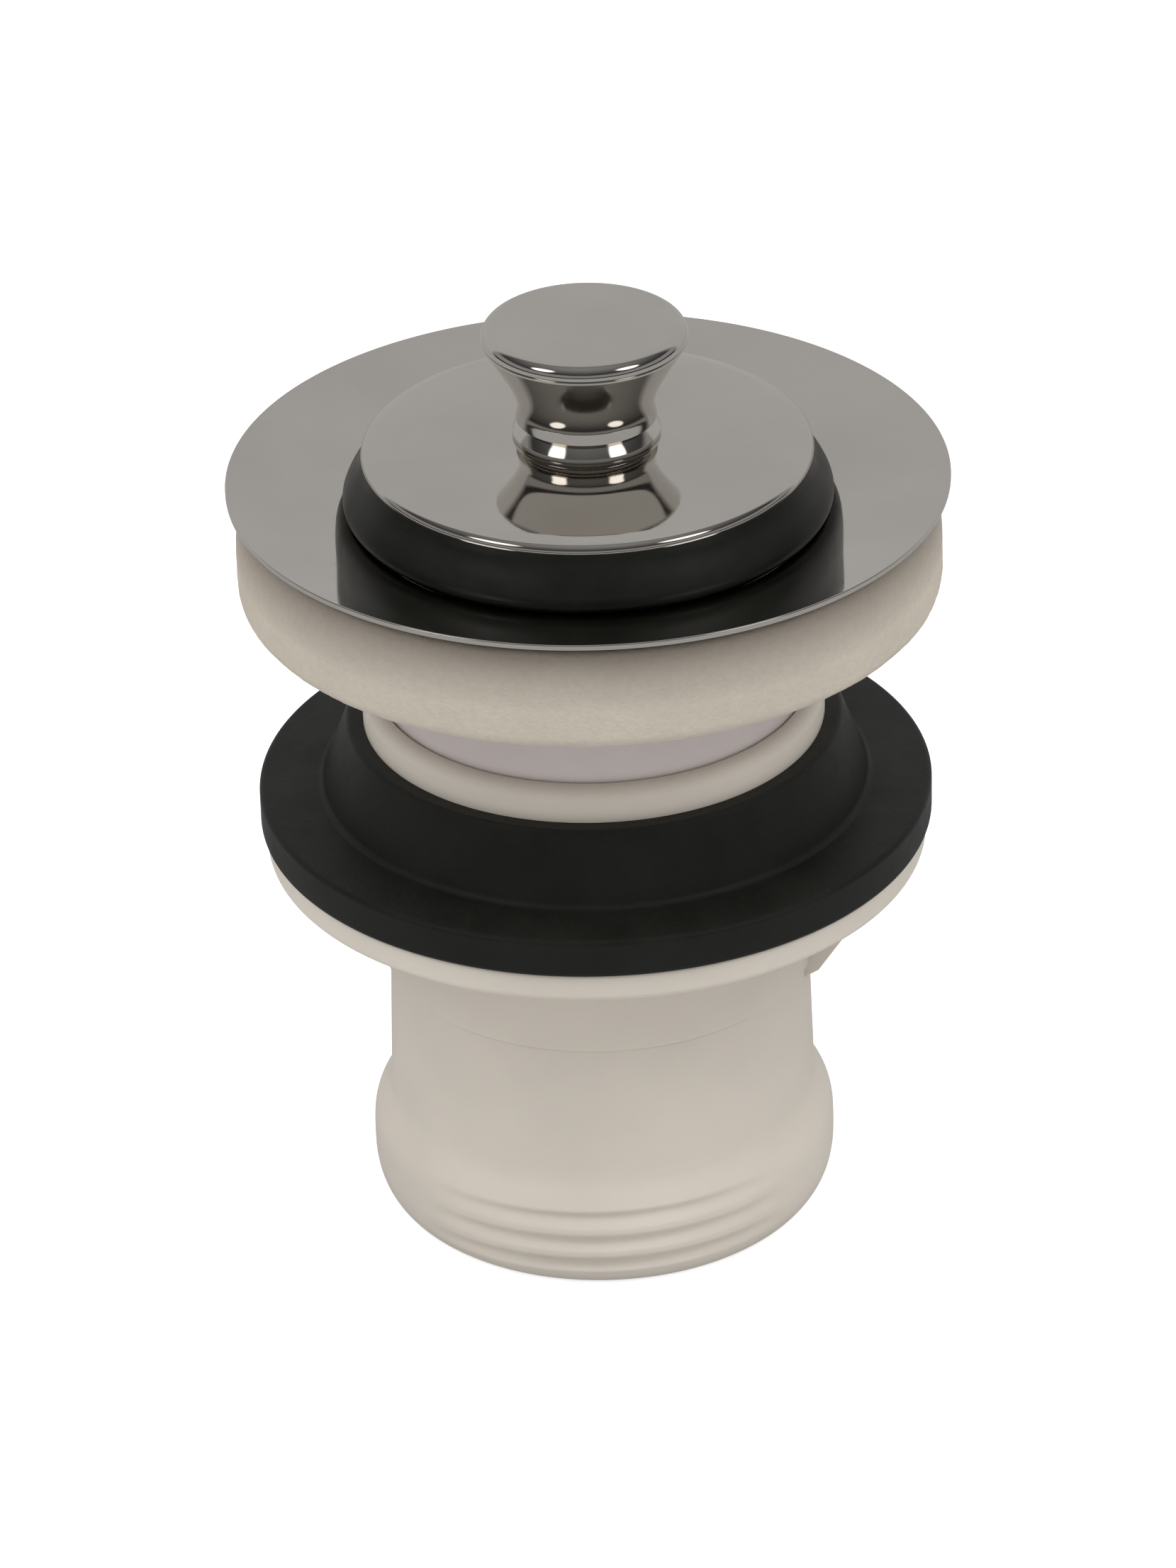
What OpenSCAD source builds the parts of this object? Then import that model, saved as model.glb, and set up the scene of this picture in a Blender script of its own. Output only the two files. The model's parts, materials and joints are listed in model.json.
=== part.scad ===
// Two-part basin waste with a lift-up stopper. Millimetres.
// The origin is on the axis, at the lower end of the tail thread. +Z points up, out of the drain.

/* [Tail and lower body] */
// Radius over the tail thread (G 1 1/4)
thread_r = 20.955; // [20:0.005:22]
// Length of the tail thread
thread_len = 8.8; // [7:0.1:12]
// Pitch of the tail thread (11 to the inch)
thread_pitch = 2.309; // [2:0.001:3]
// Depth of the moulded grooves of the tail thread
thread_depth = 0.4; // [0.2:0.05:0.5]
// Radius of the tail just above the thread
tail_r = 19.15; // [18.6:0.05:19.6]
// Loss of radius from the thread up to the step of the tail
tail_draft = 0.35; // [0:0.05:0.5]
// Radius of the thicker upper part of the tail
shank_r = 19.25; // [19:0.05:19.6]
// Height of the step in the tail
step_z = 24; // [22:0.5:26]
// Radius of the waterway through the tail
bore_r = 16.6; // [16:0.1:16.8]
// Radius of the lower body's flange
body_flange_r = 29.3; // [28:0.1:30]
// Height of the flange's lower face above the thread's end
body_flange_z = 35; // [34:0.5:36]
// Thickness of the lower body's flange
body_flange_t = 2.8; // [2:0.1:4]
// Outer radius of the collar that stands in the basin's hole
collar_r = 20.4; // [20.2:0.05:21]
// Height of the collar above the flange
collar_h = 14.1; // [13.8:0.1:15]
// Number of arms in the tail's cross
tail_arms = 4; // [3:1:5]

/* [Basin gasket] */
// Outer radius of the gasket
gasket_r = 29.83; // [29:0.01:31]
// Thickness of the gasket's rim
gasket_t = 3.6; // [3:0.1:5]
// Radius of the tapered boss where it leaves the rim
boss_foot_r = 23.9; // [23:0.1:25]
// Radius of the tapered boss at its top
boss_top_r = 22; // [21.5:0.1:22.5]
// Height of the whole gasket
gasket_h = 10; // [8:0.1:12]

/* [Upper tube and foam washer] */
// Outer radius of the upper tube
tube_r = 18.85; // [18.5:0.05:19]
// Radial gap between the upper tube and the collar
tube_gap = 0.15; // [0.1:0.05:0.3]
// Length of the upper tube inside the collar, as shown
tube_overlap = 6.3; // [5.5:0.1:6.4]
// Height of the gap between the foam washer and the collar, as shown
clamp_gap = 8.6; // [8.4:0.1:10]
// Outer radius of the foam washer
foam_r = 30.8; // [30:0.1:31.2]
// Height from the foam washer's lower face to the underside of the flange's rim
foam_t = 9.55; // [8:0.05:10]
// Number of arms in the upper tube's cross
cross_arms = 4; // [3:1:5]

/* [Top flange] */
// Outer radius of the top flange
flange_r = 31.5; // [31:0.1:33]
// Thickness of the flange's sheet
flange_t = 1; // [0.8:0.1:1.2]
// Fall of the dish from the rim to the seat
dish_drop = 2.7; // [2:0.1:3]
// Radius of the seat, at the foot of the dish
seat_r = 21.2; // [20.8:0.1:21.6]
// Outer radius of the throat
throat_r = 16.9; // [16.5:0.1:17]

/* [Stopper] */
// Radius of the stopper's disc
disc_r = 19.67; // [19:0.01:20]
// Thickness of the disc
disc_t = 1.1; // [0.9:0.1:1.4]
// Fall of the disc from its flat middle to its edge
disc_rise = 1.1; // [0.8:0.05:1.3]
// Height of the disc's upper edge above the flange's rim
disc_proud = 2.9; // [2.5:0.1:3.5]
// Widest radius of the rubber seal
seal_r = 21.36; // [21:0.01:21.5]
// Gap between the seal's lip and the dish, when closed
seal_gap = 0.15; // [0.1:0.05:0.3]
// Lift of the stopper from closed to open
stopper_lift = 10; // [8:0.5:10]

/* [Knob] */
// Radius of the knob's top
knob_r = 8.95; // [8.5:0.05:9.2]
// Height of the knob above the middle of the disc
knob_h = 10.3; // [10:0.1:11]
// Radius of the knob's waist
waist_r = 5.95; // [5.8:0.05:6.1]
// Height of the waist above the disc
waist_h = 2.75; // [2.6:0.05:3]
// Radius of the bead at the knob's foot
bead_r = 6.45; // [6.3:0.05:6.8]
// Height of the top of the bead above the disc
bead_h = 1.5; // [1.3:0.05:1.7]

/* [Post, sleeve and screw] */
// Radius of the clamp screw's shank
screw_r = 3; // [2.5:0.5:3]
// Length of the clamp screw under its head
screw_len = 60; // [58:1:61]
// Radius of the bore in the sleeve
sleeve_bore_r = 5.55; // [5.5:0.05:5.6]
// Outer radius of the sleeve
sleeve_r = 7.4; // [7.2:0.1:7.6]
// Radial running clearance of the sliding pieces
run_gap = 0.05; // [0.03:0.01:0.1]
// Wire radius of the O-rings on the post
ring_wire_r = 0.75; // [0.7:0.05:0.8]

/* [Hidden] */
$fn = 128;
eps = 0.01;
wire_fn = 32;
metal_fit = 0.1;
soft_fit = 0.3;
groove_play = 0.1;

// Lower body
thread_chamfer_r = 1.7;
thread_chamfer_h = 1.02;
thread_groove_r = 0.85;
thread_groove_fn = 12;
thread_first_z = 2.71;
thread_lead_a = atan(thread_pitch / (2 * PI * thread_r));
thread_runout_a = 50;
thread_shift = thread_depth / (1 - cos(thread_runout_a));
ledge_h = 0.7;
step_h = 0.4;
flange_fillet = 0.8;
flange_edge_r = 0.4;
gasket_z = body_flange_z + body_flange_t;
collar_z = gasket_z + collar_h;
socket_r = tube_r + tube_gap;
socket_floor_t = 2;
socket_floor_z = body_flange_z + socket_floor_t;
collar_round = (collar_r - socket_r) / 2;
hub_r = 7;
hub_z = 2.5;
hub_drop = 10;
hub_top_z = body_flange_z - hub_drop;
hub_hole_gap = 0.4;
insert_r = 4.6;
insert_h = 10;
arm_t = 3;
arm_z = 3;
arm_h = 8;
arm_bite = 1;
lug_t = 3;
lug_h = 12.7;
lug_margin = 1.5;
lug_foot = 0.8;
lug_turn = -10;

// Basin gasket
gasket_gap = 0.05;
gasket_in_r = collar_r + gasket_gap;
gasket_round = 0.5;
boss_slope_a = atan((boss_foot_r - boss_top_r) / (gasket_h - gasket_t));

// Heights of the upper half
tube_z = collar_z - tube_overlap;
foam_z = collar_z + clamp_gap;
rim_z = foam_z + foam_t + metal_fit + flange_t;

// Top flange: the dish is a straight cone from the rim to the seat, then a bend into the throat
rim_top_r = flange_r - flange_t / 2;
seat_z = rim_z - dish_drop;
dish_slope = dish_drop / (rim_top_r - seat_r);
dish_a = atan(dish_slope);
bend_r = (seat_r - throat_r + flange_t) / (1 - sin(dish_a));
bend_c = [seat_r, seat_z] + bend_r * [sin(dish_a), -cos(dish_a)];
throat_foot = 1;
throat_z = foam_z - throat_foot;

// Foam washer
foam_in_r = tube_r + soft_fit;
foam_side_r = 2.6;
foam_edge_r = 1.2;

// Upper tube, with the rest that carries the flange
rest_t = 2.4;
rest_w = 1.8;
rest_r = seat_r + rest_w;
tube_chamfer = 0.5;
spigot_gap = 0.2;
spigot_wall = 2.4;
spigot_r = bore_r - spigot_gap;
spigot_in_r = spigot_r - spigot_wall;
spigot_stop = 0.4;
spigot_z = arm_z + arm_h + clamp_gap + spigot_stop;
spigot_chamfer_r = 0.6;
spigot_chamfer_h = 0.9;
funnel_h = 3.5;
tube_ring_wire_r = 0.75;
tube_ring_r = bore_r - run_gap - tube_ring_wire_r;
tube_ring_up = 3;
tube_ring_z = spigot_z + tube_ring_up;
tube_groove_w = 2 * tube_ring_wire_r + 2 * groove_play;

// Stopper's stack, from the disc down to the nut
disc_z = rim_z + disc_proud;
disc_base_z = disc_z - disc_t;
disc_top_z = disc_z + disc_rise;
disc_edge = 0.3;
disc_steps = 10;
land_r = 8;
roll_w = disc_r - land_r;
seal_hub_t = 2.5;
seal_hub_z = disc_base_z - seal_hub_t;
seal_shoulder = [0.25, 0.9];
seal_side = [0.5, 2.2];
lip_round = 1;
lip_r = seal_r - lip_round;
lip_top_a = 35;
retainer_r = 16.3;
retainer_t = 1.6;
retainer_z = seal_hub_z - retainer_t;
retainer_chamfer_r = 1;
retainer_chamfer_h = 0.8;
washer_t = 0.8;
nut_af = 19;
nut_h = 3;
nut_z = retainer_z - washer_t - nut_h;
nut_washer_edge = 0.6;
nut_washer_r = nut_af / 2 + nut_washer_edge;

// Sleeve, bush and post, from the disc down to the cross
spigot_thread_r = 3;
spigot_len = 6.5;
sleeve_top_z = disc_top_z - disc_t;
sleeve_cap_t = 0.95;
sleeve_cap_z = sleeve_top_z - sleeve_cap_t;
screw_head_r = 5;
screw_head_h = 2.8;
screw_head_gap = 0.3;
screw_seat_z = sleeve_cap_z - screw_head_gap - screw_head_h;
screw_tip_z = screw_seat_z - screw_len;
screw_chamfer = 0.8;
screw_gap = 0.1;
hex_af = 5;
hex_depth = 2;
screw_washer_r = 5.2;
post_head_h = 6.5;
post_head_z = screw_seat_z - washer_t - post_head_h;
post_head_r = sleeve_bore_r - run_gap;
post_bore_r = screw_r + screw_gap;
post_waist_r = 4.4;
post_flat = 3.9;
post_foot_r = 5.2;
ring_groove_r = post_head_r - 2 * ring_wire_r;
ring_groove_w = 2 * ring_wire_r + groove_play;
ring_up = 1.7;
ring_pitch = 3.1;
ring_zs = [for (i = [0, 1]) post_head_z + ring_up + i * ring_pitch];
bush_h = 3.5;
bush_ledge = 0.6;
bush_seat_r = sleeve_bore_r + bush_ledge;
lift_play = 0.1;
bush_top_z = post_head_z - stopper_lift - lift_play;
bush_z = bush_top_z - bush_h;
clip_t = 0.7;
clip_depth = 0.5;
clip_r = bush_seat_r + clip_depth;
clip_z = bush_z - run_gap - clip_t;
clip_opening = 3;
clip_lip = 0.5;
sleeve_z = clip_z - clip_lip;

// Upper cross, under the sleeve
cross_h = 5;
cross_arm_t = 2.4;
cross_hub_r = 7;
cross_hub_h = 7;
cross_play = 0.65;
cross_z = sleeve_z - cross_play - cross_hub_h;
post_foot_floor = 3;
post_foot_z = cross_z + post_foot_floor;

// Knob: rounded rim, a waist that follows a hyperbola, a short skirt, a neck and a bead
knob_z = disc_top_z;
knob_top_z = knob_z + knob_h;
waist_z = knob_z + waist_h;
rim_round = 1.1;
rim_under = 0.4;
rim_low_z = knob_top_z - rim_round - rim_under;
flare_slope = 0.66;
flare_bend = 1.9;
flare_step = 0.4;
skirt_slope = 0.2;
skirt_bend = 0.25;
neck_r = 5.6;
neck_z = knob_z + bead_h;
skirt_gap = 0.15;
skirt_z = neck_z + skirt_gap;
bead_edge = 0.1;
bead_side_h = 0.5;
bead_side_z = knob_z + bead_side_h;
knob_ring_r = 4.5;
knob_ring_wire_r = 0.6;

// Points on an arc round c, from angle a0 to a1 in n steps
function arc(c, r, a0, a1, n = 8) =
    [for (i = [0 : n]) c + r * [cos(a0 + (a1 - a0) * i / n), sin(a0 + (a1 - a0) * i / n)]];

// Height of the flange's upper face over the dish at radius r
function dish_z(r) = rim_z - (rim_top_r - r) * dish_slope;

// Height of the face that carries the flange at radius r
function rest_z(r) = dish_z(r) - (flange_t + metal_fit) / cos(dish_a);

// Height of the disc's under face at radius r: flat in the middle, then curving down to the edge
function dome_z(r) = disc_base_z + disc_rise * (1 - pow((max(r, land_r) - land_r) / roll_w, 2));

// Points along the disc from its flat middle out to radius r_out, raised by z
function dome(r_out, z, n) =
    [for (i = [0 : n]) let (r = land_r + (r_out - land_r) * i / n) [r, dome_z(r) + z]];

// Radius of a hyperbola that spreads from the knob's waist, at height z
function spread(slope, bend, z) =
    waist_r + slope * (sqrt(pow(bend, 2) + pow(z - waist_z, 2)) - bend);

// Heights from z0 up to z1 in n steps
function heights(z0, z1, n) = [for (i = [0 : n]) z0 + (z1 - z0) * i / n];

// A plain ring
module ring(r_out, r_in, z, h) {
    translate([0, 0, z])
        difference() {
            cylinder(r = r_out, h = h);
            translate([0, 0, -eps]) cylinder(r = r_in, h = h + 2 * eps);
        }
}

// A ring of round wire
module wire_ring(r, wire_r, z) {
    translate([0, 0, z])
        rotate_extrude() translate([r, 0]) circle(r = wire_r, $fn = wire_fn);
}

// A plain cylinder from z_low up to z_high
module rod(r, z_low, z_high) {
    translate([0, 0, z_low]) cylinder(r = r, h = z_high - z_low);
}

// The arms of a cross, from the axis out to a round wall of radius r
module cross_of_arms(n, r, t, z, h) {
    intersection() {
        for (i = [0 : n - 1])
            rotate(45 + i * 360 / n)
                translate([0, -t / 2, z]) cube([r, t, h]);
        rod(r, z, z + h);
    }
}

// Tail, flange and collar in one moulding, with the hub that takes the screw
module lower_body() {
    color([0.93, 0.9, 0.85])
    difference() {
        union() {
            rotate_extrude() polygon(concat(
                [[bore_r, 0], [thread_r - thread_chamfer_r, 0], [thread_r, thread_chamfer_h],
                 [thread_r, thread_len], [tail_r, thread_len + ledge_h],
                 [tail_r - tail_draft, step_z - step_h], [shank_r, step_z],
                 [shank_r, body_flange_z - flange_fillet], [shank_r + flange_fillet, body_flange_z]],
                arc([body_flange_r - flange_fillet, body_flange_z + flange_fillet], flange_fillet, -90, 0),
                arc([body_flange_r - flange_edge_r, gasket_z - flange_edge_r], flange_edge_r, 0, 90, 4),
                [[collar_r, gasket_z]],
                arc([socket_r + collar_round, collar_z - collar_round], collar_round, 0, 180),
                [[socket_r, socket_floor_z], [bore_r, socket_floor_z]]));
            rod(hub_r, hub_z, hub_top_z);
            cross_of_arms(tail_arms, bore_r + arm_bite, arm_t, arm_z, arm_h);
            for (side = [0, 180]) rotate(lug_turn + side) holding_lug();
        }
        rod(screw_r + hub_hole_gap, hub_z - eps, hub_top_z + eps);
        rod(insert_r, hub_top_z - insert_h, hub_top_z + eps);
        tail_grooves();
    }
}

// Grooves of the tail thread, front and back, where the mould's two halves make them. Each is part
// of a ring that is tilted by the thread's lead angle and shifted, so that it runs out at the sides.
module tail_grooves() {
    path_r = thread_r - thread_depth + thread_groove_r + thread_shift;
    last_z = thread_len - thread_groove_r;
    for (side = [0, 1])
        for (z = [thread_first_z + side * thread_pitch / 2 : thread_pitch : last_z])
            rotate(180 * side)
                translate([0, thread_shift, z])
                    rotate([0, -thread_lead_a, 0])
                        rotate_extrude()
                            translate([path_r, 0]) circle(r = thread_groove_r, $fn = thread_groove_fn);
}

// Triangular web under the flange, to hold the body still while the screw is turned
module holding_lug() {
    foot_z = body_flange_z - lug_h;
    top_z = body_flange_z + eps;
    rotate([90, 0, 0])
        translate([0, 0, -lug_t / 2])
            linear_extrude(lug_t)
                polygon([[bore_r + arm_bite, foot_z], [tail_r - tail_draft + eps, foot_z],
                         [shank_r + lug_foot, foot_z + lug_foot],
                         [body_flange_r - lug_margin, top_z], [bore_r + arm_bite, top_z]]);
}

// Knurled brass insert in the lower hub
module threaded_insert() {
    color([0.78, 0.62, 0.3])
        ring(insert_r, screw_r + run_gap, hub_top_z - insert_h, insert_h);
}

// Rubber gasket with a tapered boss that centres itself in the basin's hole
module basin_gasket() {
    rim_top_z = gasket_z + gasket_t;
    boss_top_z = gasket_z + gasket_h;
    color([0.1, 0.1, 0.1])
    rotate_extrude() polygon(concat(
        [[gasket_in_r, gasket_z], [gasket_r - gasket_round, gasket_z], [gasket_r, gasket_z + gasket_round]],
        arc([gasket_r - gasket_round, rim_top_z - gasket_round], gasket_round, 0, 90, 4),
        [[boss_foot_r, rim_top_z]],
        arc([boss_top_r - gasket_round, boss_top_z - gasket_round], gasket_round, boss_slope_a, 90, 4),
        [[gasket_in_r, boss_top_z]]));
}

// Upper plastic tube: a dished rest for the flange, the visible tube, a spigot and a cross
module upper_tube() {
    color([0.8, 0.77, 0.78])
    difference() {
        union() {
            rotate_extrude() polygon(concat([
                [spigot_in_r, spigot_z], [spigot_r - spigot_chamfer_r, spigot_z],
                [spigot_r, spigot_z + spigot_chamfer_h], [spigot_r, tube_z],
                [tube_r - tube_chamfer, tube_z], [tube_r, tube_z + tube_chamfer],
                [tube_r, rest_z(tube_r) - rest_t], [rest_r, rest_z(rest_r) - rest_t],
                [rest_r, rest_z(rest_r)]],
                arc(bend_c, bend_r - flange_t - metal_fit, 90 + dish_a, 180),
                [[throat_r + metal_fit, throat_z - metal_fit], [spigot_in_r, throat_z - funnel_h]]));
            rod(cross_hub_r, cross_z, cross_z + cross_hub_h);
            cross_of_arms(cross_arms, spigot_in_r + arm_bite, cross_arm_t, cross_z, cross_h);
        }
        rod(post_bore_r, cross_z - eps, post_foot_z + eps);
        rod(post_foot_r, post_foot_z, cross_z + cross_hub_h + eps);
        ring(spigot_r + eps, tube_ring_r - tube_ring_wire_r, tube_ring_z - tube_groove_w / 2, tube_groove_w);
    }
}

// O-ring that seals the spigot in the lower body's bore
module tube_o_ring() {
    color([0.12, 0.12, 0.12])
        wire_ring(tube_ring_r, tube_ring_wire_r, tube_ring_z);
}

// Foam washer under the flange: bulging sides, and a dished top with a step for the tube's rest
module foam_washer() {
    step_r = rest_r + soft_fit;
    edge_c_r = foam_r - foam_edge_r;
    color([0.86, 0.82, 0.74])
    rotate_extrude() polygon(concat(
        [[foam_in_r, foam_z]],
        arc([foam_r - foam_side_r, foam_z + foam_side_r], foam_side_r, -90, 0),
        arc([edge_c_r, rest_z(edge_c_r) - foam_edge_r / cos(dish_a)], foam_edge_r, 0, 90 + dish_a, 5),
        [[step_r, rest_z(step_r)], [step_r, rest_z(step_r) - rest_t - soft_fit],
         [foam_in_r, rest_z(foam_in_r) - rest_t - soft_fit]]));
}

// Chromed flange: rounded rim, straight dish, bend at the seat and a throat
module top_flange() {
    color([0.7, 0.69, 0.67])
    rotate_extrude() polygon(concat(
        arc([rim_top_r, rim_z - flange_t / 2], flange_t / 2, 90, -90 + dish_a),
        arc(bend_c, bend_r - flange_t, 90 + dish_a, 180),
        [[throat_r, throat_z], [throat_r - flange_t, throat_z]],
        arc(bend_c, bend_r, 180, 90 + dish_a)));
}

// Hollow brass post, screwed into the cross, with two ring grooves in its head
module guide_post() {
    head_top_z = post_head_z + post_head_h;
    color([0.78, 0.62, 0.3])
    difference() {
        union() {
            rod(post_foot_r, post_foot_z, cross_z + cross_hub_h);
            flat_sided(post_waist_r, post_flat, post_foot_z, post_head_z);
            rod(post_head_r, post_head_z, head_top_z);
        }
        rod(post_bore_r, post_foot_z - eps, head_top_z + eps);
        for (z = ring_zs)
            ring(post_head_r + eps, ring_groove_r, z - ring_groove_w / 2, ring_groove_w);
    }
}

// A round bar with two flats, each at the distance flat from the axis
module flat_sided(r, flat, z_low, z_high) {
    intersection() {
        rod(r, z_low, z_high);
        translate([-flat, -r, z_low]) cube([2 * flat, 2 * r, z_high - z_low]);
    }
}

// The two O-rings whose friction holds the stopper up
module post_o_rings() {
    color([0.12, 0.12, 0.12])
    for (z = ring_zs)
        wire_ring(post_head_r - ring_wire_r, ring_wire_r, z);
}

// Washer under the screw's head
module screw_washer() {
    color([0.75, 0.75, 0.76])
        ring(screw_washer_r, post_bore_r, screw_seat_z - washer_t, washer_t);
}

// Long screw with a low head and a hexagon socket
module clamp_screw() {
    socket_z = screw_seat_z + screw_head_h - hex_depth;
    color([0.75, 0.75, 0.76])
    difference() {
        union() {
            rod(screw_r, screw_tip_z + screw_chamfer, screw_seat_z + eps);
            translate([0, 0, screw_tip_z])
                cylinder(r1 = screw_r - screw_chamfer, r2 = screw_r, h = screw_chamfer);
            rod(screw_head_r, screw_seat_z, screw_seat_z + screw_head_h);
        }
        translate([0, 0, socket_z]) cylinder(r = hex_af / sqrt(3), h = hex_depth + eps, $fn = 6);
    }
}

// Acetal bush: round outside, with two flats inside that slide along the post's flats
module guide_bush() {
    color([0.9, 0.9, 0.88])
    difference() {
        rod(bush_seat_r - run_gap, bush_z, bush_top_z);
        flat_sided(post_waist_r + run_gap, post_flat + run_gap, bush_z - eps, bush_top_z + eps);
    }
}

// Brass sleeve of the stopper, closed at the top, with the spigot for the knob
module guide_sleeve() {
    color([0.78, 0.62, 0.3])
    difference() {
        union() {
            rod(sleeve_r, sleeve_z, sleeve_top_z);
            rod(spigot_thread_r, sleeve_cap_z, knob_z + spigot_len);
        }
        rod(sleeve_bore_r, sleeve_z - eps, sleeve_cap_z);
        rod(bush_seat_r, sleeve_z - eps, bush_top_z + run_gap);
        rod(clip_r, clip_z, clip_z + clip_t);
    }
}

// Open spring clip in the sleeve's mouth
module bush_clip() {
    color([0.6, 0.6, 0.62])
    difference() {
        ring(clip_r, sleeve_bore_r, clip_z, clip_t);
        translate([0, -clip_opening / 2, clip_z - eps]) cube([clip_r + eps, clip_opening, clip_t + 2 * eps]);
    }
}

// Thin brass nut on the sleeve's thread
module lock_nut() {
    color([0.78, 0.62, 0.3])
    difference() {
        translate([0, 0, nut_z]) cylinder(r = nut_af / sqrt(3), h = nut_h, $fn = 6);
        rod(sleeve_r, nut_z - eps, nut_z + nut_h + eps);
    }
}

// Steel washer between nut and retainer
module retainer_washer() {
    color([0.75, 0.75, 0.76])
        ring(nut_washer_r, sleeve_r, retainer_z - washer_t, washer_t);
}

// Plastic plate that holds the seal against the disc
module seal_retainer() {
    color([0.9, 0.9, 0.88])
    rotate_extrude() polygon([
        [sleeve_r, retainer_z], [retainer_r - retainer_chamfer_r, retainer_z],
        [retainer_r, retainer_z + retainer_chamfer_h], [retainer_r, seal_hub_z], [sleeve_r, seal_hub_z]]);
}

// Rubber seal: hub under the disc and a lip that bulges out and rolls in to the dish
module stopper_seal() {
    lip_z = dish_z(lip_r) + seal_gap;
    color([0.1, 0.1, 0.1])
    rotate_extrude() polygon(concat(
        [[sleeve_r, dome_z(0)]],
        dome(disc_r - disc_edge, 0, 4),
        [[disc_r, disc_base_z], [disc_r + seal_shoulder[0], disc_base_z - seal_shoulder[1]],
         [seal_r - seal_side[0], disc_base_z - seal_side[1]]],
        arc([lip_r, lip_z + lip_round], lip_round, lip_top_a, -90),
        [[retainer_r + 2 * lip_round, lip_z + lip_round / 2], [retainer_r + soft_fit, seal_hub_z],
         [sleeve_r, seal_hub_z]]));
}

// Thin chromed disc with a slight dome
module stopper_disc() {
    top = dome(disc_r - disc_edge, disc_t, disc_steps);
    color([0.7, 0.69, 0.67])
    rotate_extrude() polygon(concat(
        [[spigot_thread_r, dome_z(0)]],
        dome(disc_r - disc_edge, 0, disc_steps),
        [[disc_r, disc_base_z + disc_edge], [disc_r, disc_z - disc_edge]],
        [for (i = [disc_steps : -1 : 0]) top[i]],
        [[spigot_thread_r, dome_z(0) + disc_t]]));
}

// O-ring in the knob's foot
module knob_o_ring() {
    color([0.12, 0.12, 0.12])
        wire_ring(knob_ring_r, knob_ring_wire_r, knob_z + knob_ring_wire_r);
}

// Turned spool: rounded rim, flare, waist and skirt, a neck and a bead at the foot
module knob() {
    color([0.7, 0.69, 0.67])
    difference() {
        rotate_extrude() polygon(concat(
            [[0, knob_z], [bead_r - bead_edge, knob_z], [bead_r, knob_z + bead_edge],
             [bead_r, bead_side_z - bead_edge], [bead_r - bead_edge, bead_side_z],
             [neck_r, neck_z], [neck_r, skirt_z - eps]],
            [for (z = heights(skirt_z, waist_z, 5)) [spread(skirt_slope, skirt_bend, z), z]],
            [for (z = heights(waist_z + flare_step, rim_low_z, 12)) [spread(flare_slope, flare_bend, z), z]],
            arc([knob_r - rim_under, rim_low_z + rim_under], rim_under, -40, 0, 3),
            arc([knob_r - rim_round, knob_top_z - rim_round], rim_round, 0, 90),
            [[0, knob_top_z]]));
        rod(spigot_thread_r, knob_z - eps, knob_z + spigot_len);
        ring(knob_ring_r + knob_ring_wire_r, knob_ring_r - knob_ring_wire_r, knob_z - eps,
             2 * knob_ring_wire_r + eps);
    }
}

lower_body();
threaded_insert();
basin_gasket();
upper_tube();
tube_o_ring();
foam_washer();
top_flange();
guide_post();
post_o_rings();
screw_washer();
clamp_screw();
guide_bush();
guide_sleeve();
bush_clip();
lock_nut();
retainer_washer();
seal_retainer();
stopper_seal();
stopper_disc();
knob_o_ring();
knob();
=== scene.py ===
"""Looks of the basin waste: finishes, turned shells, threads, foam, floor, light and camera.

Every piece is in metres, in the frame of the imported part. The waste's axis is Z.
"""

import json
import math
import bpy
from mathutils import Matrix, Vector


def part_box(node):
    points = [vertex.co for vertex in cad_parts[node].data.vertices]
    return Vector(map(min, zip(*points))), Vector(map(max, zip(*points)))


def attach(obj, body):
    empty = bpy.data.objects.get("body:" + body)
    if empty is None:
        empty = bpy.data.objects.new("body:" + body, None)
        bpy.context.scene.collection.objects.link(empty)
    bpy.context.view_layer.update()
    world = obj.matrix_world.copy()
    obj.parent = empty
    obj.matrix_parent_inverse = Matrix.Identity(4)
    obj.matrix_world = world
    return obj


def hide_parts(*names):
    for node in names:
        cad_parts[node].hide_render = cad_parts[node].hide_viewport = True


bl_info = {
    "name": "Basin waste",
    "version": (1, 0, 0),
    "blender": (4, 5, 0),
    "location": "View3D > Sidebar > Waste",
    "description": "Dresses the packed basin waste with its finishes and sets up its stage",
    "category": "Object",
}

import bpy
from bpy.props import FloatProperty, FloatVectorProperty, IntProperty, PointerProperty
from mathutils import Matrix, Vector, noise

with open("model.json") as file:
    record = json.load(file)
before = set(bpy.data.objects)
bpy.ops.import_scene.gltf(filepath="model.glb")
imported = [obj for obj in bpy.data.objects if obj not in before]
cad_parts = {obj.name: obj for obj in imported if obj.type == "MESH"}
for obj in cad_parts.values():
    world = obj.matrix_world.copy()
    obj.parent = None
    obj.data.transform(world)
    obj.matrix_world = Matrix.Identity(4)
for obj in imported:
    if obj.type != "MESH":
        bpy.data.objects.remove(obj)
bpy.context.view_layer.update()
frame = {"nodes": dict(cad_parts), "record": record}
MM = 0.001
FOAM_SIDES = 480  # faces round the foam, whose waves need more than the turned pieces


def top_of(node):
    """Height of a CAD node's highest point."""
    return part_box(node)[1][2]


def foot_of(node):
    """Height of a CAD node's lowest point."""
    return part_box(node)[0][2]


def radius_of(node):
    """Largest radius of a round CAD node."""
    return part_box(node)[1][0]


def srgb(red, green, blue):
    """A screen colour, from 0 to 255, as the linear colour that the shaders take."""
    def linear(c):
        c /= 255
        return c / 12.92 if c <= 0.04045 else ((c + 0.055) / 1.055) ** 2.4
    return linear(red), linear(green), linear(blue)


# Sizes and colours that a user would change

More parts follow.
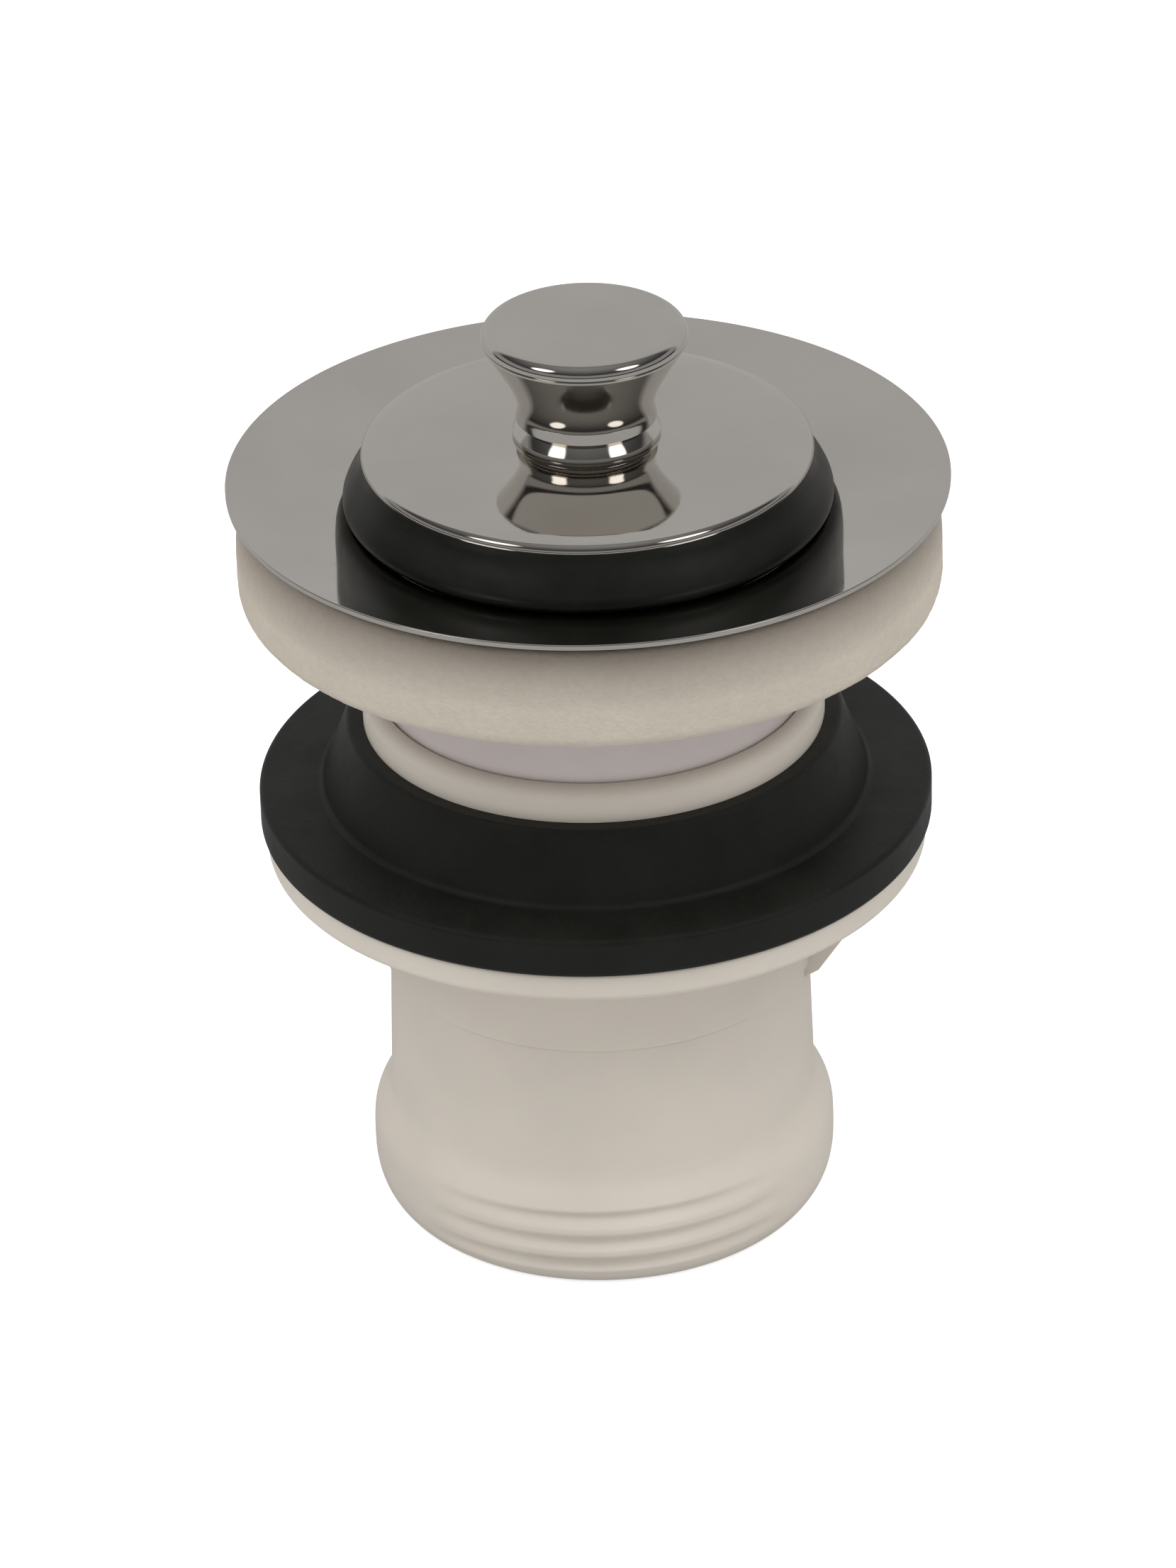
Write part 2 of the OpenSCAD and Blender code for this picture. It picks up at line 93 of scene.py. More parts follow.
def length(name, description, default, low=0.0, high=0.1):
    """A length in metres."""
    return FloatProperty(name=name, description=description, default=default, min=low, max=high,
                         unit="LENGTH", precision=5)


def colour(name, description, default):
    """A linear colour."""
    return FloatVectorProperty(name=name, description=description, default=default, size=3,
                               min=0.0, max=1.0, subtype="COLOR")


def disc_under(sizes, radius):
    """Height of the disc's under face: flat in the middle, then curving down to the edge."""
    low, edge_r = foot_of("stopper_disc"), radius_of("stopper_disc")
    fall = top_of("stopper_disc") - low - sizes.disc_t
    roll = (max(radius, sizes.disc_land_r) - sizes.disc_land_r) / (edge_r - sizes.disc_land_r)
    return low + fall * (1 - roll ** 2)


class WasteSizes(bpy.types.PropertyGroup):
    """Sizes of the turned and moulded pieces that their boxes don't give."""
    sides: IntProperty(name="Sides", description="Faces round each turned piece",
                       default=288, min=48, max=720)
    sheet: length("Sheet", "Thickness of the flange's sheet", 1.0 * MM)
    dish_drop: length("Dish drop", "Fall of the dish from the rim to the seat", 2.7 * MM)
    seat_r: length("Seat radius", "Radius at the foot of the dish", 21.2 * MM)
    throat_r: length("Throat radius", "Outer radius of the flange's throat", 16.9 * MM)
    disc_t: length("Disc thickness", "Thickness of the stopper's disc", 1.1 * MM)
    disc_land_r: length("Disc land radius", "Radius of the flat middle of the disc", 8.0 * MM)
    sleeve_r: length("Sleeve radius", "Outer radius of the brass sleeve", 7.4 * MM)
    spigot_r: length("Spigot radius", "Radius of the sleeve's spigot in disc and knob", 3.0 * MM)
    seal_hub_t: length("Seal thickness", "Thickness of the seal at its hub", 2.5 * MM)
    bead_r: length("Bead radius", "Radius of the bead at the knob's foot", 6.45 * MM)
    bead_h: length("Bead height", "Height of the top of the bead above the disc", 1.5 * MM)
    waist_r: length("Waist radius", "Radius of the knob's waist", 5.95 * MM)
    waist_h: length("Waist height", "Height of the waist above the disc", 2.75 * MM)
    collar_r: length("Collar radius", "Outer radius of the body's collar", 20.4 * MM)
    socket_r: length("Socket radius", "Inner radius of the body's collar", 19.0 * MM)
    bore_r: length("Bore radius", "Radius of the waterway in the tail", 16.6 * MM)
    body_flange_r: length("Body flange radius", "Outer radius of the lower body's flange", 29.3 * MM)
    body_flange_t: length("Body flange thickness", "Thickness of the lower body's flange", 2.8 * MM)
    thread_r: length("Thread radius", "Radius over the tail thread", 20.955 * MM)
    thread_len: length("Thread length", "Length of the tail thread", 8.8 * MM)
    thread_pitch: length("Thread pitch", "Pitch of the tail thread", 2.309 * MM)
    thread_depth: length("Thread depth", "Depth of the tail thread's grooves", 0.6 * MM)
    groove_z: length("Groove height", "Height of the lowest groove at the front", 2.6 * MM)
    groove_round: length("Groove round", "Half the width of a rounded groove", 1.0 * MM)
    groove_reach: FloatProperty(
        name="Groove reach", description="How far a groove runs each way from the front and the back",
        default=math.radians(50), min=math.radians(10), max=math.radians(89), subtype="ANGLE")
    tail_r: length("Tail radius", "Radius of the tail above the thread", 19.15 * MM)
    tail_draft: length("Tail draft", "Loss of radius up to the tail's step", 0.35 * MM)
    shank_r: length("Shank radius", "Radius of the tail above its step", 19.25 * MM)
    step_z: length("Step height", "Height of the step in the tail", 24.0 * MM)
    boss_foot_r: length("Boss foot radius", "Radius of the gasket's boss at its foot", 23.9 * MM)
    boss_top_r: length("Boss top radius", "Radius of the gasket's boss at its top", 22.0 * MM)
    gasket_t: length("Gasket thickness", "Thickness of the gasket's rim", 3.6 * MM)
    screw_pitch: length("Screw pitch", "Pitch of the clamp screw", 1.0 * MM)
    screw_r: length("Screw radius", "Radius of the clamp screw's shank", 3.0 * MM)


class WasteColours(bpy.types.PropertyGroup):
    """Colours of the finishes."""
    chrome: colour("Chrome", "Polished chrome plate", (0.65, 0.618, 0.575))
    seal: colour("Seal", "Rubber of the stopper's seal and the O-rings", srgb(21, 22, 18))
    gasket: colour("Gasket", "Rubber of the basin gasket", srgb(20, 21, 18))
    foam: colour("Foam", "Foam washer", srgb(185, 176, 164))
    tube: colour("Tube", "Plastic of the upper tube", srgb(194, 185, 181))
    body: colour("Body", "Plastic of the lower body", srgb(198, 190, 179))
    acetal: colour("Acetal", "Plastic of the bush and the retainer", srgb(225, 224, 218))
    brass: colour("Brass", "Turned brass", (0.72, 0.5, 0.2))
    steel: colour("Steel", "Stainless steel", (0.56, 0.55, 0.53))
    floor: colour("Floor", "Floor and backdrop", (0.7, 0.7, 0.7))


# Outlines, in the plane of radius and height

def arc(centre, radius, start, end, steps=8):
    """Points on an arc, from the angle start to end in degrees."""
    return [(centre[0] + radius * math.cos(math.radians(start + (end - start) * i / steps)),
             centre[1] + radius * math.sin(math.radians(start + (end - start) * i / steps)))
            for i in range(steps + 1)]


def spline(points, steps=6):
    """A smooth curve through the points."""
    padded = [points[0], *points, points[-1]]
    curve = []
    for a, b, c, d in zip(padded, padded[1:], padded[2:], padded[3:]):
        for i in range(steps):
            t = i / steps
            curve.append(tuple(
                0.5 * (2 * q + (r - p) * t + (2 * p - 5 * q + 4 * r - s) * t * t
                       + (3 * q - p - 3 * r + s) * t ** 3)
                for p, q, r, s in zip(a, b, c, d)))
    return curve + [points[-1]]


def line(start, end, steps):
    """Points from start up to but without end."""
    return [tuple(a + (b - a) * i / steps for a, b in zip(start, end)) for i in range(steps)]


# Mesh making

def finish_mesh(name, vertices, faces, sharp=32):
    """A shaded mesh object: smooth, with edges steeper than sharp degrees kept crisp."""
    mesh = bpy.data.meshes.new(name)
    mesh.from_pydata(vertices, [], faces)
    mesh.validate()
    mesh.shade_smooth()
    mesh.set_sharp_from_angle(angle=math.radians(sharp))
    piece = bpy.data.objects.new(name, mesh)
    bpy.context.collection.objects.link(piece)
    normals = piece.modifiers.new("even_normals", "WEIGHTED_NORMAL")
    normals.keep_sharp = True
    return piece


def lathe_data(outline, sides, warp=None):
    """Vertices and faces of a closed outline turned round the axis.

    The outline runs anticlockwise, seen with the radius to the right. A point on the axis is a pole.
    warp moves a point: it takes the angle, the radius and the height, and gives the last two.
    """
    vertices = []
    rings = []
    for r, z in outline:
        if r < 1e-7:
            rings.append([len(vertices)])
            vertices.append((0.0, 0.0, z))
            continue
        rings.append(list(range(len(vertices), len(vertices) + sides)))
        for i in range(sides):
            a = math.tau * i / sides
            rr, zz = warp(a, r, z) if warp else (r, z)
            vertices.append((rr * math.cos(a), rr * math.sin(a), zz))
    faces = []
    for low, high in zip(rings, rings[1:] + rings[:1]):
        if len(low) == 1 and len(high) == 1:
            continue
        for i in range(sides):
            j = (i + 1) % sides
            if len(low) == 1:
                faces.append((low[0], high[j], high[i]))
            elif len(high) == 1:
                faces.append((low[i], low[j], high[0]))
            else:
                faces.append((low[i], low[j], high[j], high[i]))
    return vertices, faces


def lathe(name, outline, sides, warp=None, sharp=32):
    """A turned piece."""
    return finish_mesh(name, *lathe_data(outline, sides, warp), sharp=sharp)


def prism_data(points, thickness, turn):
    """An outline in radius and height, as a web of that thickness through the axis' plane, turned."""
    spin = Matrix.Rotation(math.radians(turn), 3, "Z")
    n = len(points)
    vertices = [tuple(spin @ Vector((x, side * thickness / 2, z))) for side in (-1, 1) for x, z in points]
    faces = [tuple(range(n)), tuple(range(2 * n - 1, n - 1, -1))]
    faces += [(i, i + n, (i + 1) % n + n, (i + 1) % n) for i in range(n)]
    return vertices, faces


def joined(parts):
    """Several vertex and face lists as one."""
    vertices, faces = [], []
    for more_vertices, more_faces in parts:
        start = len(vertices)
        vertices += more_vertices
        faces += [tuple(start + i for i in face) for face in more_faces]
    return vertices, faces


# Finishes

def new_finish(name, colour_value, roughness, metallic=0.0):
    """A material with its shader set plainly. Gives the material, its node tree and its shader."""
    finish = bpy.data.materials.new(name)
    finish.use_nodes = True
    finish.diffuse_color = (*colour_value, 1.0)
    tree = finish.node_tree
    shader = tree.nodes["Principled BSDF"]
    shader.inputs["Base Color"].default_value = (*colour_value, 1.0)
    shader.inputs["Roughness"].default_value = roughness
    shader.inputs["Metallic"].default_value = metallic
    return finish, tree, shader


def place_node(tree, x=1, y=1, z=1):
    """The point on the piece, stretched by the three factors."""
    where = tree.nodes.new("ShaderNodeTexCoord")
    scale = tree.nodes.new("ShaderNodeMapping")
    scale.inputs["Scale"].default_value = (x, y, z)
    tree.links.new(where.outputs["Object"], scale.inputs["Vector"])
    return scale.outputs["Vector"]


def noise_node(tree, place, scale, detail=3.0, roughness=0.5):
    """Fractal noise at a place. The scale is in waves per metre."""
    node = tree.nodes.new("ShaderNodeTexNoise")
    node.inputs["Scale"].default_value = scale
    node.inputs["Detail"].default_value = detail
    node.inputs["Roughness"].default_value = roughness
    tree.links.new(place, node.inputs["Vector"])
    return node.outputs["Fac"]


def range_node(tree, value, low, high, from_low=0.35, from_high=0.65):
    """Maps a value onto a range."""
    node = tree.nodes.new("ShaderNodeMapRange")
    node.inputs["From Min"].default_value = from_low
    node.inputs["From Max"].default_value = from_high
    node.inputs["To Min"].default_value = low
    node.inputs["To Max"].default_value = high
    tree.links.new(value, node.inputs["Value"])
    return node.outputs["Result"]


def tint_node(tree, value, first, second):
    """A colour between first and second."""
    node = tree.nodes.new("ShaderNodeMix")
    node.data_type = "RGBA"
    node.inputs["A"].default_value = (*first, 1.0)
    node.inputs["B"].default_value = (*second, 1.0)
    tree.links.new(value, node.inputs["Factor"])
    return node.outputs["Result"]


def feed(tree, socket, value):
    """Gives a socket its value: another socket, or a number that is set on it."""
    if isinstance(value, (int, float)):
        socket.default_value = value
    else:
        tree.links.new(value, socket)


def math_node(tree, operation, first, second=0.0):
    """A math node on two values, each a socket or a number."""
    node = tree.nodes.new("ShaderNodeMath")
    node.operation = operation
    feed(tree, node.inputs[0], first)
    feed(tree, node.inputs[1], second)
    return node.outputs[0]


def choice_node(tree, factor, first, second):
    """The first value where the factor is 0 and the second where it is 1."""
    node = tree.nodes.new("ShaderNodeMix")
    node.data_type = "FLOAT"
    tree.links.new(factor, node.inputs["Factor"])
    feed(tree, node.inputs["A"], first)
    feed(tree, node.inputs["B"], second)
    return node.outputs["Result"]


def multiplied_node(tree, first, second):
    """The product of two colours."""
    node = tree.nodes.new("ShaderNodeMix")
    node.data_type = "RGBA"
    node.blend_type = "MULTIPLY"
    node.inputs["Factor"].default_value = 1.0
    tree.links.new(first, node.inputs["A"])
    tree.links.new(second, node.inputs["B"])
    return node.outputs["Result"]


def bump_node(tree, height, depth, below=None):
    """A bump of that depth in metres, over another bump where one is given."""
    node = tree.nodes.new("ShaderNodeBump")
    node.inputs["Strength"].default_value = 1.0
    node.inputs["Distance"].default_value = depth
    tree.links.new(height, node.inputs["Height"])
    if below is not None:
        tree.links.new(below, node.inputs["Normal"])
    return node.outputs["Normal"]


def shaded(value, factor):
    """A colour made lighter or darker."""
    return tuple(min(1.0, c * factor) for c in value)


def chrome_finish(colours):
    """Chrome plate: mirror bright, with a faint haze, wipe marks and the waviness of polishing."""
    finish, tree, shader = new_finish("chrome_plate", colours.chrome, 0.05, 1.0)
    place = place_node(tree)
    haze = noise_node(tree, place, 90, 4)
    wipes = noise_node(tree, place_node(tree, 1, 6, 1), 240, 5, 0.6)
    tree.links.new(tint_node(tree, range_node(tree, haze, 0, 1), shaded(colours.chrome, 0.97),
                             shaded(colours.chrome, 1.03)), shader.inputs["Base Color"])
    tree.links.new(range_node(tree, wipes, 0.045, 0.085), shader.inputs["Roughness"])
    tree.links.new(bump_node(tree, haze, 0.004 * MM), shader.inputs["Normal"])
    return finish


def rubber_finish(name, value, sheen_roughness, grain):
    """Moulded black rubber: a soft sheen, fine grain and paler dusty patches."""
    finish, tree, shader = new_finish(name, value, sheen_roughness)
    shader.inputs["Specular IOR Level"].default_value = 0.3
    place = place_node(tree)
    dust = noise_node(tree, place, 160, 5, 0.6)
    fine = noise_node(tree, place, 2600, 3)
    tree.links.new(tint_node(tree, range_node(tree, dust, 0, 1), shaded(value, 0.82), shaded(value, 1.3)),
                   shader.inputs["Base Color"])
    tree.links.new(range_node(tree, dust, sheen_roughness - 0.05, sheen_roughness + 0.07),
                   shader.inputs["Roughness"])
    tree.links.new(bump_node(tree, fine, grain), shader.inputs["Normal"])
    return finish


def foam_finish(colours):
    """Fine closed-cell foam: pits, a dull surface, and a painted shade that darkens the colour towards the
    flange's rim.
    """
    finish, tree, shader = new_finish("beige_foam", colours.foam, 0.95)
    shader.inputs["Specular IOR Level"].default_value = 0.15
    place = place_node(tree)
    cells = tree.nodes.new("ShaderNodeTexVoronoi")
    cells.inputs["Scale"].default_value = 2600
    tree.links.new(place, cells.inputs["Vector"])
    grain = noise_node(tree, place, 1500, 4, 0.6)
    blotch = noise_node(tree, place, 130, 3)
    pits = range_node(tree, cells.outputs["Distance"], 0, 1, 0.1, 0.6)
    tint = tint_node(tree, range_node(tree, grain, 0, 1, 0.3, 0.7), shaded(colours.foam, 0.96),
                     shaded(colours.foam, 1.03))
    blotched = tint_node(tree, range_node(tree, blotch, 0, 1), (0.96, 0.96, 0.96), (1, 1, 1))
    axes = tree.nodes.new("ShaderNodeSeparateXYZ")
    tree.links.new(place, axes.inputs[0])
    # Painted shade: the base colour darkens to under half over the top 5.2 mm up to the flange's rim,
    # standing in for the shade under the rim.
    rim_z, shade_h = foot_of("foam_washer") + 8.9 * MM, 5.2 * MM
    painted_shade_mask = range_node(tree, axes.outputs[2], 0, 1, rim_z - shade_h, rim_z)
    shade = tint_node(tree, painted_shade_mask, (1, 1, 1), (0.46, 0.45, 0.44))
    tree.links.new(multiplied_node(tree, multiplied_node(tree, tint, blotched), shade),
                   shader.inputs["Base Color"])
    soft = bump_node(tree, grain, 0.035 * MM)
    tree.links.new(bump_node(tree, pits, 0.025 * MM, below=soft), shader.inputs["Normal"])
    return finish


def plastic_finish(name, value, roughness=0.42, cloud=(0.96, 1.03), tint=(1.0, 1.0, 1.0)):
    """Moulded plastic: slight clouding, a satin skin and the faint texture of the mould."""
    finish, tree, shader = new_finish(name, value, roughness)
    shader.inputs["Subsurface Weight"].default_value = 0.12
    shader.inputs["Subsurface Radius"].default_value = (1.2 * MM, 1.0 * MM, 0.8 * MM)
    shader.inputs["Subsurface Scale"].default_value = 1.0
    place = place_node(tree)
    clouds = noise_node(tree, place, 70, 4)
    skin = noise_node(tree, place, 900, 3)
    warm = tuple(c * t for c, t in zip(shaded(value, cloud[0]), tint))
    tree.links.new(tint_node(tree, range_node(tree, clouds, 0, 1), warm, shaded(value, cloud[1])),
                   shader.inputs["Base Color"])
    tree.links.new(range_node(tree, clouds, roughness - 0.05, roughness + 0.06), shader.inputs["Roughness"])
    tree.links.new(bump_node(tree, skin, 0.012 * MM), shader.inputs["Normal"])
    return finish


def turned_metal_finish(name, value, roughness):
    """Turned metal: fine rings of tool marks round the axis."""
    finish, tree, shader = new_finish(name, value, roughness, 1.0)
    rings = noise_node(tree, place_node(tree, 0.05, 0.05, 1), 9000, 3)
    stain = noise_node(tree, place_node(tree), 180, 4)
    tree.links.new(tint_node(tree, range_node(tree, stain, 0, 1), shaded(value, 0.85), shaded(value, 1.08)),
                   shader.inputs["Base Color"])
    tree.links.new(range_node(tree, rings, roughness - 0.08, roughness + 0.1), shader.inputs["Roughness"])
    tree.links.new(bump_node(tree, rings, 0.01 * MM), shader.inputs["Normal"])
    return finish


FINISHES = {}


def make_finishes(colours):
    """All the finishes, by the record's material slots."""
    FINISHES.update({
        "chrome": chrome_finish(colours),
        "seal_rubber": rubber_finish("seal_rubber", colours.seal, 0.36, 0.006 * MM),
        "gasket_rubber": rubber_finish("gasket_rubber", colours.gasket, 0.5, 0.02 * MM),
        "foam": foam_finish(colours),
        "tube_plastic": plastic_finish("grey_white_plastic", colours.tube, 0.38, (0.95, 1.03),
                                       (1.0, 0.985, 1.01)),
        "white_plastic": plastic_finish("off_white_plastic", colours.body, 0.45),
        "acetal": plastic_finish("acetal", colours.acetal, 0.35),
        "brass": turned_metal_finish("turned_brass", colours.brass, 0.28),
        "steel": turned_metal_finish("bright_steel", colours.steel, 0.25),
    })


def dress(piece, slot, body, *nodes):
    """Gives a piece its finish and its body, and hides the nodes that it stands for."""
    piece.data.materials.clear()
    piece.data.materials.append(FINISHES[slot])
    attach(piece, body)
    if nodes:
        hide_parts(*nodes)
    return piece


# Pieces

class WastePiece:
    """What the operators share: the sizes, and undo."""
    bl_options = {"REGISTER", "UNDO"}

    @property
    def sizes(self):
        return bpy.context.scene.waste_sizes


class WASTE_OT_finishes(WastePiece, bpy.types.Operator):
    """Make the finishes and lay them on the CAD nodes that keep their own shape"""
    bl_idname = "waste.finishes"
    bl_label = "Finishes"

    def execute(self, context):
        make_finishes(context.scene.waste_colours)
        for subpart in frame["record"]["subparts"]:
            slots = frame["nodes"][subpart["node"]].data.materials
            slots.clear()
            slots.append(FINISHES[subpart["material_slot"]])
        return {"FINISHED"}


class WASTE_OT_knob(WastePiece, bpy.types.Operator):
    """Turn the spool knob"""
    bl_idname = "waste.knob"
    bl_label = "Knob"

    def execute(self, context):
        s = self.sizes
        foot, top, rim_r = foot_of("knob"), top_of("knob"), radius_of("knob")
        waist_z, flare_bend, flare_slope = foot + s.waist_h, 1.9 * MM, 0.66
        skirt_bend, skirt_slope = 0.25 * MM, 0.2
        rim_round, rim_under = 1.1 * MM, 0.4 * MM
        rim_low = top - rim_round - rim_under
        neck_r, neck_z, neck_h = 5.6 * MM, foot + s.bead_h, 0.15 * MM
        skirt_z = neck_z + neck_h
        edge, bead_side = 0.1 * MM, foot + 0.5 * MM
        bore_top = foot + 6.5 * MM

        def spread(slope, bend, z):
            """Radius of a hyperbola that spreads from the waist, at a height."""
            return s.waist_r + slope * (math.hypot(bend, z - waist_z) - bend)

        skirt_rings, flare_rings = 16, 48
        skirt = [(spread(skirt_slope, skirt_bend, z), z) for z in
                 (skirt_z + (waist_z - skirt_z) * i / skirt_rings for i in range(skirt_rings))]
        flare = [(spread(flare_slope, flare_bend, z), z) for z in
                 (waist_z + (rim_low - waist_z) * i / flare_rings for i in range(flare_rings + 1))]
        outline = (
            [(s.spigot_r, foot), (s.bead_r - edge, foot), (s.bead_r, foot + edge)]
            + arc((s.bead_r - edge, bead_side - edge), edge, 0, 45, 4)
            + [(neck_r + edge, neck_z - 0.8 * edge), (neck_r, neck_z), (neck_r, skirt_z - 0.02 * MM)]
            + skirt + flare
            + arc((rim_r - rim_under, rim_low + rim_under), rim_under, -40, 0, 8)
            + arc((rim_r - rim_round, top - rim_round), rim_round, 0, 90, 16)[1:]
            + [(0, top), (0, bore_top), (s.spigot_r, bore_top)])
        dress(lathe("turned_knob", outline, s.sides), "chrome", "stopper", "knob")
        return {"FINISHED"}


class WASTE_OT_disc(WastePiece, bpy.types.Operator):
    """Press the stopper's domed disc"""
    bl_idname = "waste.disc"
    bl_label = "Stopper disc"

    def execute(self, context):
        s = self.sizes
        low, rim_r = foot_of("stopper_disc"), radius_of("stopper_disc")
        edge, roll, rings = 0.3 * MM, 0.75 * MM, 24
        radii = [s.disc_land_r + (rim_r - edge - s.disc_land_r) * i / rings for i in range(rings + 1)]
        under = [(r, disc_under(s, r)) for r in radii]
        upper = [(r, z + s.disc_t) for r, z in reversed(under) if r < rim_r - roll - 0.2 * MM]
        outline = (
            [(s.spigot_r, under[0][1])] + under
            + arc((rim_r - edge, low + edge + 0.05 * MM), edge, -80, 0, 4)
            + arc((rim_r - roll, low + s.disc_t - roll), roll, 0, 80, 12)
            + upper + [(s.spigot_r, upper[-1][1])])
        dress(lathe("pressed_disc", outline, s.sides), "chrome", "stopper", "stopper_disc")
        return {"FINISHED"}


class WASTE_OT_seal(WastePiece, bpy.types.Operator):
    """Mould the stopper's rubber seal"""
    bl_idname = "waste.seal"
    bl_label = "Stopper seal"

    def execute(self, context):
        s = self.sizes
        widest, low = radius_of("stopper_seal"), foot_of("stopper_seal")
        disc_r, disc_low = radius_of("stopper_disc"), foot_of("stopper_disc")
        plate_r, plate_gap = radius_of("seal_retainer"), 0.3 * MM
        hub_low = disc_low - s.seal_hub_t
        lip = 1.0 * MM
        lip_in = plate_r + 2 * lip
        face_r, rings = disc_r - 0.3 * MM, 8
        radii = [s.disc_land_r + (face_r - s.disc_land_r) * i / rings for i in range(rings + 1)]
        top_face = [(r, disc_under(s, r)) for r in radii]
        side = spline([
            (disc_r + 0.01 * MM, disc_low + 0.4 * MM), (disc_r + 0.3 * MM, disc_low - 0.7 * MM),
            (widest - 0.5 * MM, disc_low - 2.2 * MM), (widest - 0.05 * MM, low + 1.4 * MM),
            (widest - 0.06 * MM, low + 0.7 * MM), (widest - 0.45 * MM, low + 0.17 * MM),
            (widest - lip, low)], 8)
        outline = (
            [(s.sleeve_r, top_face[0][1])] + top_face + side
            + [(lip_in, low + lip / 2), (plate_r + plate_gap, hub_low), (s.sleeve_r, hub_low)])
        dress(lathe("moulded_seal", outline[::-1], s.sides, sharp=40), "seal_rubber", "stopper",
              "stopper_seal")
        return {"FINISHED"}


def dish_slope(sizes):
    """Angle of the dish's cone, from the rim down to the seat."""
    return math.atan2(sizes.dish_drop, radius_of("top_flange") - sizes.sheet / 2 - sizes.seat_r)


class WASTE_OT_flange(WastePiece, bpy.types.Operator):
    """Spin the dished top flange with its throat"""
    bl_idname = "waste.flange"
    bl_label = "Top flange"

    def execute(self, context):
        s = self.sizes
        rim_r, rim_z, throat_z = radius_of("top_flange"), top_of("top_flange"), foot_of("top_flange")
        edge, rim_t, taper = 0.1 * MM, 0.5 * MM, 1.6 * MM
        slope = dish_slope(s)
        tilt = math.degrees(slope)
        bend = (s.seat_r - s.throat_r + s.sheet) / (1 - math.sin(slope))
        centre = (s.seat_r + bend * math.sin(slope), rim_z - s.dish_drop - bend * math.cos(slope))
        outline = (
            [(s.throat_r - s.sheet, throat_z), (s.throat_r, throat_z)]
            + arc(centre, bend - s.sheet, 180, 90 + tilt, 24)
            + [(rim_r - taper,
                rim_z - (taper - s.sheet / 2) * math.tan(slope) - s.sheet / math.cos(slope))]
            + arc((rim_r - edge, rim_z - rim_t + edge), edge, -60, 0, 4)
            + arc((rim_r - edge, rim_z - edge), edge, 4, 90 + tilt, 12)
            + arc(centre, bend, 90 + tilt, 180, 32))
        dress(lathe("spun_flange", outline, s.sides), "chrome", "top", "top_flange")
        return {"FINISHED"}


class WASTE_OT_foam(WastePiece, bpy.types.Operator):
    """Cut the foam washer and squeeze it a little out of true"""
    bl_idname = "waste.foam"
    bl_label = "Foam washer"

    def execute(self, context):
        s = self.sizes
        low, outer = foot_of("foam_washer"), radius_of("foam_washer")
        inner, even_r = outer - 11.65 * MM, s.seat_r + 3 * MM
        side_round, edge_round = 1.4 * MM, 0.5 * MM
        tuck, bulge_z, bulge_round = 0.5 * MM, low + 5.2 * MM, 1.4 * MM
        step_r, step_h = s.seat_r + 2.1 * MM, 2.7 * MM
        tilt, slope = math.degrees(dish_slope(s)), math.tan(dish_slope(s))
        edge_r = outer - tuck - edge_round
        edge = (edge_r, top_of("top_flange") - (radius_of("top_flange") - s.sheet / 2 - edge_r) * slope
                - (s.sheet + edge_round) * math.hypot(1, slope))
        side = spline([(outer, low + side_round), (outer, bulge_z),
                       (outer - 0.35 * tuck, bulge_z + bulge_round), (edge_r + edge_round, edge[1])])
        shoulder = arc(edge, edge_round, 0, 90 + tilt, 8)
        crest_r, crest_z = shoulder[-1]
        step_z = crest_z - (crest_r - step_r) * slope
        outline = (
            line((inner, low), (outer - side_round, low), 12)
            + arc((outer - side_round, low + side_round), side_round, -90, 0, 14)
            + side[1:-1] + shoulder
            + [(step_r, step_z), (step_r, step_z - step_h),
               (inner, step_z - step_h - (step_r - inner) * slope)])

        def squeeze(angle, r, z):
            """Uneven foam: slow waves and small grain, none where the washer is cut or clamped."""
            if r < even_r:
                return r, z
            place = Vector((r * math.cos(angle), r * math.sin(angle), z)) / MM
            wave = 0.06 * MM * noise.noise(place * 0.22) + 0.035 * MM * noise.noise(place * 1.6)
            grain = 0.02 * MM * noise.noise(place * 4.5)
            lift = 0.02 * MM * noise.noise(place * 2.1 + Vector((9, 0, 0)))
            return r + wave + grain - 0.04 * MM, z + lift

        piece = lathe("cut_foam", outline, FOAM_SIDES, squeeze)
        dress(piece, "foam", "top", "foam_washer")
        return {"FINISHED"}


def thread_warp(crest_r, pitch, depth, low, high, fade):
    """Rolls a right-handed thread into the crest: rounded grooves that fade out at both ends."""
    narrowness = 1.8

    def warp(angle, r, z):
        if r < crest_r - 1e-6 or z < low or z > high:
            return r, z
        phase = (z / pitch - angle / math.tau) % 1.0
        groove = (0.5 - 0.5 * math.cos(math.tau * phase)) ** narrowness
        ends = min(1.0, (z - low) / fade, (high - z) / fade)
        return r - depth * groove * max(0.0, ends), z
    return warp


def tail_thread_warp(sizes):
    """Moulds the tail thread: rounded grooves on one right-handed helix, which run out at both sides."""
    front = -math.pi / 2
    pitch = sizes.thread_pitch
    lowest, highest = sizes.groove_z - pitch / 2, sizes.thread_len - 0.35 * MM

    def warp(angle, r, z):
        if r < sizes.tail_r or z < lowest or z > highest:
            return r, z
        run_out = (1 - abs(math.sin(angle))) / (1 - math.cos(sizes.groove_reach))
        from_front = (angle - front + math.pi) % math.tau - math.pi
        middle = sizes.groove_z + pitch * from_front / math.tau
        offset = (z - middle + pitch / 2) % pitch - pitch / 2
        if run_out >= 1 or abs(offset) >= sizes.groove_round:
            return r, z
        depth = sizes.thread_depth * (1 - run_out)
        return r - depth * (0.5 + 0.5 * math.cos(math.pi * offset / sizes.groove_round)), z
    return warp


